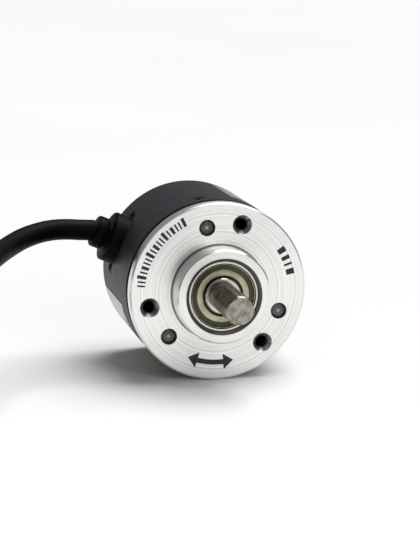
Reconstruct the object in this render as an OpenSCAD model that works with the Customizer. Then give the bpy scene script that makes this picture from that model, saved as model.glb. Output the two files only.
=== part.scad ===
/* [Housing] */
// Outer diameter of the flange and the cover
body_d = 38; // [34:0.5:50]
// Length from the mounting face of the flange to the rear end of the cover
body_len = 31; // [30:0.5:50]
// Thickness of the flange's visible rim
rim_t = 2.5; // [1.5:0.1:5]
// Width of the groove between the flange's rim and the cover
groove_w = 1.5; // [0.8:0.1:2]
// How far the gasket lies below the outside of the body
gasket_sink = 0.8; // [0.3:0.1:1.2]
// Wall of the cover's tube
cover_wall = 2; // [1.4:0.1:3]
// Thickness of the cover's rear end
cover_end_t = 2; // [1:0.1:4]
// Chamfer round the cover's rear edge
cover_chamfer = 0.8; // [0.2:0.1:1.2]
// Gap between the flange's spigot and the inside of the cover
spigot_gap = 0.1; // [0.05:0.05:0.3]
// Distance from the mounting face to the rear end of the flange's spigot
spigot_end = 11.8; // [11.8:0.1:13]

/* [Flange face] */
// Diameter of the pilot boss
pilot_d = 20; // [18:0.5:22]
// Height of the pilot boss
pilot_h = 5; // [3:0.1:8]
// Chamfer on the pilot boss and on the flange's edges
edge_chamfer = 0.3; // [0.1:0.05:0.6]
// Width of the relief groove at the foot of the pilot boss
relief_w = 0.4; // [0.2:0.1:0.6]
// Bolt circle of the tapped mounting holes
mount_pcd = 30; // [28:0.5:31]
// Diameter of the tapped mounting holes at the crest of their thread
mount_hole_d = 2.5; // [2:0.1:2.8]
// Depth of the tapped mounting holes
mount_hole_depth = 6; // [4:0.5:8]
// Diameter of the countersink at a mounting hole
mount_csk_d = 4.2; // [3:0.1:4.4]
// Bolt circle of the base screws
base_pcd = 28; // [26:0.5:28.5]
// Thread diameter of the base screws
base_screw_d = 2.5; // [2:0.1:3]
// Diameter of the open mouth in front of a base screw
base_mouth_d = 3.5; // [3.1:0.1:3.6]
// Depth at which the tip of a base screw stands below the mounting face
base_tip_depth = 0.9; // [0.5:0.1:2]

/* [Shaft] */
// Diameter of the shaft
shaft_d = 6; // [5:0.5:7]
// Length of the shaft in front of the mounting face
shaft_out = 17.5; // [14:0.5:30]
// Depth of the flat on the shaft
flat_depth = 0.5; // [0.3:0.1:1]
// Length of the flat on the shaft
flat_len = 9.5; // [5:0.5:11]
// Direction in which the flat faces, up from +X
flat_angle = 134; // [0:1:359]
// Chamfer on the shaft's ends
shaft_chamfer = 0.3; // [0.1:0.1:0.6]

/* [Ball bearings] */
// Outer diameter of a ball bearing
bearing_d = 15; // [14:0.5:16]
// Width of a ball bearing
bearing_w = 5; // [5:0.5:6]
// Distance of the front bearing below the end of the pilot boss
bearing_sink = 0.8; // [0.4:0.1:2]
// Diameter of a bearing ball
ball_d = 2.38; // [2:0.01:2.4]
// Number of balls in a bearing
ball_count = 7; // [5:1:8]
// Diameter of the circle on which the ball centres run
ball_pcd = 10.5; // [10.3:0.1:11]
// Width of the flange's inner shoulder between the two bearings
shoulder_w = 3.8; // [3:0.1:5]
// Thickness of the wave washer
wave_t = 0.5; // [0.3:0.1:0.8]

/* [Code disc and optics] */
// Diameter of the code disc
disc_d = 22; // [18:0.5:22.5]
// Thickness of the code disc
disc_t = 0.5; // [0.3:0.1:1]
// Number of slots in the code disc's main track
disc_slots = 30; // [12:1:40]
// Diameter of the disc hub
hub_d = 11; // [10:0.5:12]
// Direction of the optics, up from +X
optic_angle = 280; // [275:1:290]

/* [Board] */
// Thickness of the circuit board
board_t = 1.6; // [0.8:0.1:2]
// Gap between the code disc's plane and the board, which the photodetector fills
board_gap = 3.3; // [3:0.1:4]

/* [Cable exit] */
// Diameter of the cable
cable_d = 4.5; // [3.5:0.1:5]
// Distance of the cable exit from the mounting face
gland_y = 22; // [20:0.5:24]
// Direction of the cable exit, up from +X
gland_angle = 155.5; // [155.5:0.5:156]
// Diameter of the grommet's large collar
collar_d = 11; // [9:0.5:12]
// Height of the large collar above the cover's crown
collar_h = 2.5; // [1.5:0.1:4]
// Diameter of the grommet's small collar
small_collar_d = 7; // [6:0.1:8]
// Height of the small collar
small_collar_h = 2.3; // [1.5:0.1:4]
// Width of the flat slot under the grommet
slot_w = 3.4; // [2:0.1:4]
// Depth of the flat slot under the grommet
slot_depth = 1.5; // [0.8:0.1:1.6]

/* [Hidden] */
$fn = 64;
body_r = body_d / 2;
undercut = 0.2;
bar_turn = -142.5;
label_t = 0.1;
floor_z = -body_r - label_t;
eps = 0.01;
free_gap = 0.3;

// Places along the shaft's axis, from the mounting face (y = 0) to the rear
cover_y0 = rim_t + groove_w;
spigot_r = body_r - cover_wall - spigot_gap;
cover_inner_r = body_r - cover_wall;
brg1_y0 = -pilot_h + bearing_sink;
brg1_y1 = brg1_y0 + bearing_w;
shoulder_y1 = brg1_y1 + shoulder_w;
brg2_y0 = shoulder_y1 + wave_t;
brg2_y1 = brg2_y0 + bearing_w;
circlip_t = 0.8;
shaft_clip_t = 0.6;
hub_y0 = brg2_y1 + shaft_clip_t + 0.6;
hub_len = 3.9;
hub_flange_t = 0.8;
hub_screw_y = hub_y0 + 1.5;
hub_flange_r = hub_d / 2 + 1;
disc_y0 = hub_y0 + hub_len;
disc_y1 = disc_y0 + disc_t;
clamp_t = 0.6;
clamp_y1 = disc_y1 + clamp_t;
shaft_y1 = clamp_y1 + 0.5;
board_y0 = disc_y1 + board_gap;
board_y1 = board_y0 + board_t;
cover_inner_y1 = body_len - cover_end_t;

// Bearing details
ball_r = ball_d / 2;
ball_pitch_r = ball_pcd / 2;
ball_phase = 0.25;
race_run_gap = 0.02;
inner_land_r = ball_pitch_r - ball_r + 0.34;
inner_end_r = shaft_d / 2 + 0.85;
outer_land_r = ball_pitch_r + ball_r - 0.29;
shield_seat_r = bearing_d / 2 - 0.5;
shield_in = 0.35;
shield_t = 0.25;
shield_bore_r = inner_end_r + 0.45;
shield_dip = 0.15;
lip_h = 0.1;
lip_r = shield_seat_r - 0.4;
crimp_r = bearing_d / 2 - 1.9;
cage_inner_r = ball_pitch_r - 0.55;
cage_outer_r = ball_pitch_r + 0.55;
cage_front = 0.6;
cage_rear = 1.65;
ball_pocket_gap = 0.06;

// Screws
m3_angle = 70;
base_angle = 100;
post_angle = 129;
cover_screw_angle = 98;
third = 120;
base_r = base_pcd / 2;
base_head_d = 4;
base_head_h = 1.6;
cover_screw_d = 2;
cover_screw_head_d = 3.6;
cover_screw_head_h = 1.1;
cover_screw_len = 3;
cover_screw_y = cover_y0 + 3;
cover_screw_top = sqrt(pow(body_r, 2) - pow(cover_screw_head_d / 2, 2)) - 0.05;
recess_w = 0.45;

// Sensor base, posts and optics
base_ring_r = cover_inner_r - 0.4;
base_ring_wall = 1.8;
base_boss_d = 4.8;
base_boss_h = 3.2;
base_web_w = 2.4;
base_pad = 0.2;
post_d = 3.4;
post_r = base_ring_r - base_ring_wall - 1.3;
board_r = base_ring_r - 0.8;
board_screw_d = 1.6;
board_screw_head_d = 2.8;
board_screw_head_h = 1.1;
board_screw_len = 5;
optic_r = disc_d / 2 - 1.2;
emitter_w = 6.4;
emitter_depth = 4.6;
emitter_gap = 0.6;
lamp_d = 3;
pin_d = 0.6;
pin_r = disc_d / 2 + 1.8;
pin_half = 1.3;
reticle_gap = 0.4;
reticle_t = 0.4;
detector_w = 7;
detector_depth = 5;
detector_window_d = 2.6;

// Grommet, seen along its own axis: h is the distance from the shaft's axis
gland_hole_d = 6.2;
grommet_neck_d = 6.2;
grommet_inner_d = 8;
grommet_inner_t = 1.2;
collar_top = body_r + collar_h;
collar_gap = 0.8;
small_top = collar_top + collar_gap + small_collar_h;
neck_foot = sqrt(pow(cover_inner_r, 2) - pow(grommet_inner_d / 2, 2)) - 0.05;
slot_floor = body_r - slot_depth;
crimp_len = 1.6;
notch_half = 4.2;
notch_depth = 5;
stub_clear = 1.2;
stub_end = board_r - notch_depth + stub_clear;

// Wire header on the board
header_x = -5.5;
header_z = 1.4;
header_slot0 = 0.6;
header_pitch = 1.3;
inner_lead_d = 0.6;

// Label
label_y0 = cover_y0 + 6.5;
label_y1 = body_len - 2;
label_start = 192;
label_end = 434;

// Cable route from the grommet to the coil: hand-chosen points, the last one where the coil takes over
route = [
    [-22.4, 22, 10.2], [-25.2, 21.8, 10.4], [-28.7, 21.2, 10.8], [-32.2, 19.8, 11], [-35.5, 17.6, 10.9],
    [-38.6, 14.7, 10.6], [-41.4, 11, 10.2], [-43.9, 6.6, 9.9], [-46.2, 1.4, 9.8], [-48.8, -5, 9.7],
    [-52.2, -12.3, 9.3], [-56.8, -19.6, 8.3], [-62.6, -26.4, 6.4], [-69.6, -32.2, 3.6], [-77.6, -36.2, 0.1],
    [-86.3, -37.6, -3.8], [-95, -36, -7.8], [-102.9, -31.8, -11.3], [-109.3, -25.4, -14],
    [-113.6, -17.8, -15.8], [-115.7, -10, -16.7], [-116, -2, -16.85]
];
coil_x = -86;
coil_y = -2;
coil_r_start = 30;
coil_pitch = 4.7;
coil_turns = 2.2;
coil_r_in = coil_r_start - coil_pitch * coil_turns;
cable_z = floor_z + cable_d / 2;

// Far end of the cable, where the spiral stops
end_angle = 180 - 360 * coil_turns;
sleeve_d = cable_d + 0.8;
sleeve_len = 6;
tie_angle = -25;
end_turn = 12;
lead_d = 0.8;
lead_tip_d = 0.7;
lead_count = 5;
lead_spread_r = 0.95;
lead_tips = [[-3, -2.2, 16.5], [-5.5, -2.2, 17.5], [-12, -2.2, 15], [-10, -2.2, 16], [-7.5, -2.2, 17]];

// Places children along the shaft's axis: local +Z runs to the rear
module along(y0) translate([0, y0, 0]) rotate([-90, 0, 0]) children();

// Turns children about the shaft's axis, up from +X
module turned(angle) rotate([0, -angle, 0]) children();

// Three places at equal angles, at radius r, with local +Z running to the rear
module thirds(r, angle, y0) {
    for (k = [0:2])
        turned(angle + k * third) translate([r, y0, 0]) rotate([-90, 0, 0]) children();
}

// Local +Z runs outwards along a radius at the given angle and distance along the axis
module radial(angle, y0) translate([0, y0, 0]) turned(angle) rotate([0, 90, 0]) children();

// A plain ring or tube along the shaft's axis
module tube_y(r_out, r_in, y0, y1) {
    along(y0) difference() {
        cylinder(r = r_out, h = y1 - y0);
        translate([0, 0, -1]) cylinder(r = r_in, h = y1 - y0 + 2);
    }
}

// A shape turned about the shaft's axis, from an outline of [radius, y] points
module turned_profile(points) rotate([-90, 0, 0]) rotate_extrude($fn = 96) polygon(points);

module flange_blank() {
    c = edge_chamfer;
    turned_profile([
        [0, -pilot_h], [pilot_d / 2 - c, -pilot_h], [pilot_d / 2, -pilot_h + c],
        [pilot_d / 2, 0], [body_r - c, 0], [body_r, c], [body_r, rim_t - c / 2],
        [body_r - c / 2, rim_t], [spigot_r, rim_t], [spigot_r, spigot_end - c],
        [spigot_r - c, spigot_end], [0, spigot_end]
    ]);
}

module flange_bore() {
    well_r = bearing_d / 2;
    mouth = 0.65;
    shoulder_r = bearing_d / 2 - 1.2;
    turned_profile([
        [0, -pilot_h - 1], [well_r + mouth + 1, -pilot_h - 1], [well_r + mouth, -pilot_h],
        [well_r, -pilot_h + mouth], [well_r, brg1_y1], [shoulder_r, brg1_y1],
        [shoulder_r, shoulder_y1], [well_r, shoulder_y1], [well_r, brg2_y1],
        [well_r + 0.4, brg2_y1], [well_r + 0.4, brg2_y1 + circlip_t],
        [well_r, brg2_y1 + circlip_t], [well_r, spigot_end + 1], [0, spigot_end + 1]
    ]);
}

module flange() color("gainsboro") difference() {
    flange_blank();
    flange_bore();
    // Relief groove at the foot of the pilot boss, undercut below the mounting face
    tube_y(pilot_d / 2 + relief_w, pilot_d / 2, -eps, relief_w / 4 + eps);
    tube_y(pilot_d / 2 + relief_w, pilot_d / 2 - undercut, relief_w / 4, relief_w * 0.75);
    // Tapped mounting holes with their countersinks
    thirds(mount_pcd / 2, m3_angle, -1) cylinder(d = mount_hole_d, h = mount_hole_depth + 1);
    thirds(mount_pcd / 2, m3_angle, -eps)
        cylinder(d1 = mount_csk_d, d2 = mount_hole_d, h = (mount_csk_d - mount_hole_d) / 2);
    // Holes of the base screws, with a wider mouth in the mounting face
    thirds(base_r, base_angle, -1) cylinder(d = base_screw_d, h = spigot_end + 2);
    thirds(base_r, base_angle, -1) cylinder(d = base_mouth_d, h = base_tip_depth + 1);
    // Tapped holes of the cover screws
    for (k = [0:2])
        radial(cover_screw_angle + k * third, cover_screw_y)
            translate([0, 0, body_r - cover_screw_len - 0.1])
                cylinder(d = cover_screw_d, h = cover_screw_len + 1);
}

module cover_gasket() color("black")
    tube_y(body_r - gasket_sink, spigot_r, rim_t, cover_y0);

module cover_shell() {
    c = cover_chamfer;
    turned_profile([
        [cover_inner_r, cover_y0], [body_r, cover_y0], [body_r, body_len - c],
        [body_r - c, body_len], [0, body_len], [0, cover_inner_y1],
        [cover_inner_r, cover_inner_y1]
    ]);
}

// The flat slot that the grommet sits in, cut straight across the cover's wall
module gland_slot(depth_margin) radial(gland_angle, gland_y)
    translate([-body_r, -slot_w / 2, slot_floor - depth_margin])
        cube([body_d, slot_w, body_r]);

module cover() color("#3d3c41") difference() {
    cover_shell();
    gland_slot(0);
    radial(gland_angle, gland_y) cylinder(d = gland_hole_d, h = body_d);
    for (k = [0:2])
        radial(cover_screw_angle + k * third, cover_screw_y) {
            cylinder(d = cover_screw_d, h = body_d);
            translate([0, 0, cover_screw_top - cover_screw_head_h])
                cylinder(d1 = cover_screw_d, d2 = cover_screw_head_d, h = cover_screw_head_h);
            translate([0, 0, cover_screw_top - eps]) cylinder(d = cover_screw_head_d, h = 1);
        }
}

// One countersunk screw, its head flush with h = 0 and its point downwards
module countersunk_screw(d, head_d, head_h, len) difference() {
    union() {
        translate([0, 0, -len]) cylinder(d = d, h = len - head_h + eps);
        translate([0, 0, -head_h]) cylinder(d1 = d, d2 = head_d, h = head_h);
    }
    for (a = [0, 90])
        rotate([0, 0, a]) translate([-head_d * 0.3, -recess_w / 2, -head_h * 0.6])
            cube([head_d * 0.6, recess_w, head_h]);
}

module cover_screws() color("#2b2b2e")
    for (k = [0:2])
        radial(cover_screw_angle + k * third, cover_screw_y)
            translate([0, 0, cover_screw_top])
                countersunk_screw(cover_screw_d, cover_screw_head_d, cover_screw_head_h,
                    cover_screw_len - 0.2);

module label() color("silver")
    rotate([0, -label_start, 0]) rotate([-90, 0, 0]) mirror([0, 1, 0])
        rotate_extrude(angle = label_end - label_start, $fn = 96)
            translate([body_r, label_y0]) square([label_t, label_y1 - label_y0]);

module base_screws() color("#55555a") thirds(base_r, base_angle, base_tip_depth) {
    shank = spigot_end + base_boss_h - base_tip_depth;
    cylinder(d1 = base_screw_d - 0.8, d2 = base_screw_d, h = 0.4);
    translate([0, 0, 0.4]) cylinder(d = base_screw_d, h = shank - 0.4);
    translate([0, 0, shank]) difference() {
        cylinder(d = base_head_d, h = base_head_h);
        for (a = [0, 90])
            rotate([0, 0, a]) translate([-base_head_d * 0.3, -recess_w / 2, base_head_h * 0.5])
                cube([base_head_d * 0.6, recess_w, base_head_h]);
    }
}

// One outer race from y0, with its ball groove and the seats of the two shields
module outer_race(y0) {
    r_out = bearing_d / 2;
    c = 0.15;
    mid = y0 + bearing_w / 2;
    y1 = y0 + bearing_w;
    seat = shield_in + shield_t;
    difference() {
        turned_profile([
            [shield_seat_r, y0], [r_out - c, y0], [r_out, y0 + c], [r_out, y1 - c],
            [r_out - c, y1], [shield_seat_r, y1], [shield_seat_r, y1 - seat],
            [outer_land_r, y1 - seat], [outer_land_r, y0 + seat], [shield_seat_r, y0 + seat]
        ]);
        along(mid) rotate_extrude($fn = 96)
            translate([ball_pitch_r, 0]) circle(r = ball_r + race_run_gap, $fn = 48);
    }
}

// One inner race from y0: low ends under the shields and a raised middle with the ball groove
module inner_race(y0) {
    c = 0.2;
    step = 1;
    y1 = y0 + bearing_w;
    difference() {
        turned_profile([
            [shaft_d / 2, y0], [inner_end_r - c, y0], [inner_end_r, y0 + c],
            [inner_end_r, y0 + step], [inner_land_r, y0 + step], [inner_land_r, y1 - step],
            [inner_end_r, y1 - step], [inner_end_r, y1 - c], [inner_end_r - c, y1],
            [shaft_d / 2, y1]
        ]);
        along(y0 + bearing_w / 2) rotate_extrude($fn = 96)
            translate([ball_pitch_r, 0]) circle(r = ball_r + race_run_gap, $fn = 48);
    }
}

// One shield: a flat disc, a low channel round it and a raised crimp at its edge
module shield(face_y, side) {
    y_in = face_y + side * (shield_in + shield_t);
    y_out = face_y + side * shield_in;
    y_lip = face_y + side * lip_h;
    y_dip = y_out + side * shield_dip;
    turned_profile([
        [shield_bore_r, y_in], [shield_seat_r, y_in], [shield_seat_r, y_lip], [lip_r, y_lip],
        [lip_r, y_dip], [crimp_r, y_dip], [crimp_r, y_out], [shield_bore_r, y_out]
    ]);
}

module shields(y0) {
    shield(y0, 1);
    shield(y0 + bearing_w, -1);
}

module balls(y0) for (k = [0:ball_count - 1])
    turned((k + ball_phase) * 360 / ball_count) translate([ball_pitch_r, y0 + bearing_w / 2, 0])
        sphere(d = ball_d, $fn = 48);

// One crown cage, open towards the front, with a radial pocket for each ball
module cage(y0) difference() {
    mid = y0 + bearing_w / 2;
    tube_y(cage_outer_r, cage_inner_r, mid - cage_front, mid + cage_rear);
    for (k = [0:ball_count - 1])
        radial((k + ball_phase) * 360 / ball_count, mid) translate([0, 0, cage_inner_r - 1])
            cylinder(r = ball_r + ball_pocket_gap, h = cage_outer_r - cage_inner_r + 2);
}

module front_outer_race() color("silver") outer_race(brg1_y0);
module front_shields() color("#a9a68f") shields(brg1_y0);
module front_inner_race() color("silver") inner_race(brg1_y0);
module front_cage() color("#8f8a70") cage(brg1_y0);
module front_balls() color("white") balls(brg1_y0);
module rear_outer_race() color("silver") outer_race(brg2_y0);
module rear_shields() color("#a9a68f") shields(brg2_y0);
module rear_inner_race() color("silver") inner_race(brg2_y0);
module rear_cage() color("#8f8a70") cage(brg2_y0);
module rear_balls() color("white") balls(brg2_y0);

module wave_washer() color("gray")
    tube_y(bearing_d / 2 - 0.2, outer_land_r + 0.1, shoulder_y1, brg2_y0);

// An open ring: the gap lies at the given angle
module open_ring(r_out, r_in, y0, y1, gap, angle) difference() {
    tube_y(r_out, r_in, y0, y1);
    turned(angle) translate([0, y0 - 1, -gap / 2]) cube([r_out + 1, y1 - y0 + 2, gap]);
}

module bearing_circlip() color("dimgray")
    open_ring(bearing_d / 2 + 0.35, bearing_d / 2 - 0.9, brg2_y1, brg2_y1 + circlip_t, 3, 90);

module shaft() color("#8b8a80") difference() {
    c = shaft_chamfer;
    relief_y = brg1_y0 - 1;
    relief_len = 0.8;
    relief_depth = 0.25;
    r = shaft_d / 2;
    groove_r = r - 0.5;
    turned(flat_angle + bar_turn) turned_profile([
        [0, -shaft_out], [r - c, -shaft_out], [r, -shaft_out + c], [r, relief_y],
        [r - relief_depth, relief_y], [r - relief_depth, relief_y + relief_len],
        [r, relief_y + relief_len],
        [r, brg2_y1],
        [groove_r, brg2_y1], [groove_r, brg2_y1 + shaft_clip_t], [r, brg2_y1 + shaft_clip_t],
        [r, shaft_y1 - c], [r - c, shaft_y1], [0, shaft_y1]
    ]);
    turned(flat_angle) translate([r - flat_depth, -shaft_out - 1, -r])
        cube([r, flat_len + 1, shaft_d]);
}

module inner_spacer() color("silver")
    tube_y(inner_end_r, shaft_d / 2, brg1_y1, brg2_y0);

module shaft_circlip() color("dimgray")
    open_ring(shaft_d / 2 + 1.2, shaft_d / 2 - 0.5, brg2_y1, brg2_y1 + shaft_clip_t, 3, 270);

module disc_hub() color("goldenrod") difference() {
    union() {
        tube_y(hub_d / 2, shaft_d / 2, hub_y0, disc_y0);
        tube_y(hub_flange_r, shaft_d / 2, disc_y0 - hub_flange_t, disc_y0);
    }
    radial(90, hub_screw_y) cylinder(d = cover_screw_d, h = hub_d);
}

module hub_screw() color("#2b2b2e") radial(90, hub_screw_y) difference() {
    translate([0, 0, shaft_d / 2]) cylinder(d = cover_screw_d, h = (hub_d - shaft_d) / 2 - 0.2);
    translate([0, 0, hub_d / 2 - 1.1]) cylinder(d = 1, h = 2, $fn = 6);
}

// The code disc, with one ring of slots and one index window further in
module code_disc() color("#8a8f96") difference() {
    tube_y(disc_d / 2, shaft_d / 2 + 0.5, disc_y0, disc_y1);
    for (k = [0:disc_slots - 1])
        turned(k * 360 / disc_slots) translate([optic_r - 0.7, disc_y0 - 1, -0.3])
            cube([1.4, disc_t + 2, 0.6]);
    translate([optic_r - 2.4, disc_y0 - 1, -0.3]) cube([1.1, disc_t + 2, 0.6]);
}

module disc_clamp() color("silver") tube_y(hub_flange_r, shaft_d / 2, disc_y1, clamp_y1);

// Places children at the two pins that carry the lamp's current past the disc's edge
module at_pins(y0) for (s = [-1, 1])
    turned(optic_angle) translate([pin_r, y0, s * pin_half]) rotate([-90, 0, 0]) children();

module emitter_holder() color("#202024") difference() {
    turned(optic_angle) translate([optic_r - emitter_depth / 2, spigot_end, -emitter_w / 2])
        cube([pin_r + 0.8 - optic_r + emitter_depth / 2, disc_y0 - emitter_gap - spigot_end,
            emitter_w]);
    turned(optic_angle) translate([optic_r, spigot_end, 0]) rotate([-90, 0, 0])
        translate([0, 0, 0.4]) cylinder(d = lamp_d, h = 10);
    at_pins(spigot_end + 0.5) cylinder(d = pin_d, h = 10, $fn = 24);
}

module emitter_lamp() color("#d8dde6") turned(optic_angle) translate([optic_r, spigot_end, 0])
    rotate([-90, 0, 0]) {
        depth = disc_y0 - emitter_gap - spigot_end;
        translate([0, 0, 0.4]) cylinder(d = lamp_d, h = depth - 0.4 - lamp_d / 2);
        translate([0, 0, depth - lamp_d / 2]) intersection() {
            sphere(d = lamp_d, $fn = 48);
            cylinder(d = lamp_d, h = lamp_d);
        }
    }

module emitter_leads() color("silver") at_pins(spigot_end + 0.5)
    cylinder(d = pin_d, h = board_y1 + 0.3 - spigot_end, $fn = 24);

module reticle() color("lightblue") turned(optic_angle)
    translate([optic_r - detector_depth / 2 + 0.4, disc_y1 + reticle_gap, -detector_w / 2 + 0.5])
        cube([detector_depth - 0.8, reticle_t, detector_w - 1]);

module photodetector() color("#1c1c20") turned(optic_angle) difference() {
    y0 = disc_y1 + reticle_gap + reticle_t;
    translate([optic_r - detector_depth / 2, y0, -detector_w / 2])
        cube([detector_depth, board_y0 - y0, detector_w]);
    for (s = [-1, 1])
        translate([optic_r, y0 - 1, s * 1.7]) rotate([-90, 0, 0])
            cylinder(d = detector_window_d, h = 1.5);
}

// Space that the grommet and the cable's inner end need in the ring and in the board
module gland_notch(depth, half, y0) radial(gland_angle, 0)
    translate([-half, y0, depth]) cube([2 * half, body_len, body_r]);

module sensor_base() color("#3a3f45") difference() {
    union() {
        tube_y(base_ring_r, base_ring_r - base_ring_wall, spigot_end + base_pad, board_y0);
        thirds(base_r, base_angle, spigot_end) cylinder(d = base_boss_d, h = base_boss_h);
        thirds(base_r, base_angle, spigot_end + 2 * base_pad) translate([0, -base_web_w / 2, 0])
            cube([base_ring_r - base_ring_wall / 2 - base_r, base_web_w, base_boss_h - 3 * base_pad]);
        thirds(post_r, post_angle, spigot_end + 2 * base_pad)
            cylinder(d = post_d, h = board_y0 - spigot_end - 2 * base_pad);
    }
    thirds(base_r, base_angle, spigot_end - 1) cylinder(d = base_screw_d, h = body_len);
    thirds(base_r, base_angle, spigot_end + base_boss_h)
        cylinder(d = base_head_d + free_gap, h = body_len);
    thirds(post_r, post_angle, board_y1 - board_screw_len - 0.3)
        cylinder(d = board_screw_d, h = body_len);
    gland_notch(cover_inner_r - 4, grommet_inner_d / 2 + free_gap, gland_y - grommet_inner_d / 2 - free_gap);
}

module circuit_board() color("#1f5b3a") difference() {
    tube_y(board_r, 1.6, board_y0, board_y1);
    thirds(post_r, post_angle, board_y0 - 1) cylinder(d = board_screw_d, h = board_t + 2);
    thirds(base_r, base_angle, board_y0 - 1) cylinder(d = base_head_d, h = board_t + 2);
    at_pins(board_y0 - 1) cylinder(d = pin_d, h = board_t + 2, $fn = 24);
    gland_notch(board_r - notch_depth, notch_half, board_y0 - 1);
}

module board_screws() color("silver") thirds(post_r, post_angle, board_y1) {
    translate([0, 0, -board_screw_len]) cylinder(d = board_screw_d, h = board_screw_len);
    difference() {
        cylinder(d = board_screw_head_d, h = board_screw_head_h);
        for (a = [0, 90])
            rotate([0, 0, a])
                translate([-board_screw_head_d * 0.3, -recess_w / 2, board_screw_head_h * 0.5])
                    cube([board_screw_head_d * 0.6, recess_w, board_screw_head_h]);
    }
}

// A chip on the board: a block with two rows of legs
module chip(x, z, w, l, h, legs) translate([x, board_y1, z]) {
    translate([-w / 2, 0.2, -l / 2]) cube([w, h, l]);
    for (s = [-1, 1], k = [0:legs - 1])
        translate([s * (w / 2 + 0.3) - 0.4, 0, (k - (legs - 1) / 2) * 1.27 - 0.2])
            cube([0.8, 0.6, 0.4]);
}

module comparator_chip() color("#18181b") chip(6.5, 4, 3.8, 4.8, 1.4, 4);
module driver_chip() color("#18181b") chip(5, -6, 3.8, 8.6, 1.4, 7);

// Resistors and capacitors, in two rows along the board's middle
module board_passives() color("#b8a070") for (k = [0:3], s = [0, 1])
    translate([-2.6 - s * 3, board_y1, -8 + k * 2.4]) cube([2, 0.8, 1.2]);

module wire_header() color("ivory") translate([header_x, board_y1, header_z]) difference() {
    cube([3.6, 3, 2 * header_slot0 + (lead_count - 1) * header_pitch + 0.8]);
    for (k = [0:lead_count - 1])
        translate([-1, 1.2, header_slot0 + k * header_pitch]) cube([3, 0.9, 0.8]);
}

// A straight round rod between two points
module rod(from, to, d) {
    v = to - from;
    translate(from) rotate([0, acos(v[2] / norm(v)), atan2(v[1], v[0])])
        cylinder(d = d, h = norm(v), $fn = 24);
}

// Five short wires that fan out from the cable's inner end to the slots of the header
module inner_leads() color("orange") {
    out = [cos(gland_angle), 0, sin(gland_angle)];
    across = [-sin(gland_angle), 0, cos(gland_angle)];
    for (k = [0:lead_count - 1])
        rod(out * stub_end + [0, gland_y, 0] + across * (2 - k) * 0.85,
            [header_x + 1.6, board_y1 + 1.65, header_z + header_slot0 + 0.4 + k * header_pitch],
            inner_lead_d);
}

// The grommet: inner lip, neck through the wall, rib in the slot, large collar, neck, small collar
module grommet() color("#0d0f15") difference() {
    radial(gland_angle, gland_y) {
        translate([0, 0, neck_foot - grommet_inner_t])
            cylinder(d = grommet_inner_d, h = grommet_inner_t + eps);
        translate([0, 0, neck_foot]) cylinder(d = grommet_neck_d, h = collar_top - neck_foot);
        difference() {
            translate([0, 0, slot_floor]) cylinder(d = collar_d, h = collar_top - slot_floor);
            translate([0, -gland_y, 0]) rotate([-90, 0, 0]) cylinder(r = body_r, h = body_len * 2);
        }
        translate([-grommet_inner_d / 2, -slot_w / 2 + 0.05, slot_floor])
            cube([grommet_inner_d, slot_w - 0.1, slot_depth + 0.5]);
        cylinder_from(collar_top - eps, collar_top + collar_gap + eps, grommet_neck_d);
        translate([0, 0, collar_top + collar_gap]) {
            cylinder(d = small_collar_d, h = small_collar_h - 0.4);
            translate([0, 0, small_collar_h - 0.4])
                cylinder(d1 = small_collar_d, d2 = small_collar_d - 0.8, h = 0.4);
        }
    }
    radial(gland_angle, gland_y) cylinder(d = cable_d, h = body_d);
}

// A straight cylinder of diameter d between two heights
module cylinder_from(h0, h1, d) translate([0, 0, h0]) cylinder(d = d, h = h1 - h0);

module cable_stub() color("#050508") radial(gland_angle, gland_y)
    cylinder_from(stub_end, small_top, cable_d);

module cable_crimp() color("silver") radial(gland_angle, gland_y) difference() {
    cylinder_from(stub_end + 1, stub_end + 1 + crimp_len, cable_d + 1.2);
    cylinder_from(stub_end, stub_end + 2 + crimp_len, cable_d);
}

// A tube of the given diameter and number of sides along a list of points
function unit(v) = v / norm(v);
function tangent(p, i) = unit(p[min(i + 1, len(p) - 1)] - p[max(i - 1, 0)]);
function side_of(t) = abs(t[2]) > 0.9 ? unit(cross(t, [1, 0, 0])) : unit(cross(t, [0, 0, 1]));
function ring_points(c, t, r, n) = let (a = side_of(t), b = cross(t, a))
    [for (k = [0:n - 1]) c + a * r * cos(k * 360 / n) + b * r * sin(k * 360 / n)];
module sweep(path, d, sides) {
    n = len(path);
    points = [for (i = [0:n - 1]) each ring_points(path[i], tangent(path, i), d / 2, sides)];
    walls = [for (i = [0:n - 2], k = [0:sides - 1])
        [i * sides + k, i * sides + (k + 1) % sides,
            (i + 1) * sides + (k + 1) % sides, (i + 1) * sides + k]];
    caps = [[for (k = [sides - 1:-1:0]) k], [for (k = [0:sides - 1]) (n - 1) * sides + k]];
    polyhedron(points = points, faces = concat(walls, caps));
}

module cable() color("#050508") sweep(route, cable_d, 10);

// The coil's outer shape: a flat ring that holds both turns
module cable_coil() color("#050508") translate([coil_x, coil_y, cable_z]) rotate_extrude($fn = 96) {
    r = cable_d / 2;
    translate([coil_r_in, 0]) circle(r = r, $fn = 32);
    translate([coil_r_start, 0]) circle(r = r, $fn = 32);
    translate([coil_r_in, -r]) square([coil_r_start - coil_r_in, cable_d]);
}

// A strap round the coil's turns on the side towards the encoder
module coil_tie() color("#101014") translate([coil_x, coil_y, 0]) rotate([0, 0, tie_angle]) difference() {
    t = 0.9;
    w = 3;
    r_in = coil_r_in - cable_d / 2;
    r_out = coil_r_start + cable_d / 2;
    translate([r_in - t, -w / 2, floor_z]) cube([r_out - r_in + 2 * t, w, cable_d + t]);
    translate([r_in, -w, floor_z - 1]) cube([r_out - r_in, 2 * w, cable_d + 1]);
}

// Frame at the coil's inner end: local +Z runs on along the cable, local +X away from the coil's centre
module cable_end() translate([coil_x, coil_y, floor_z + sleeve_d / 2]) rotate([0, 0, end_angle])
    translate([coil_r_in, 0, 0]) rotate([90, 0, 0]) rotate([0, -end_turn, 0]) children();

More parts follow.
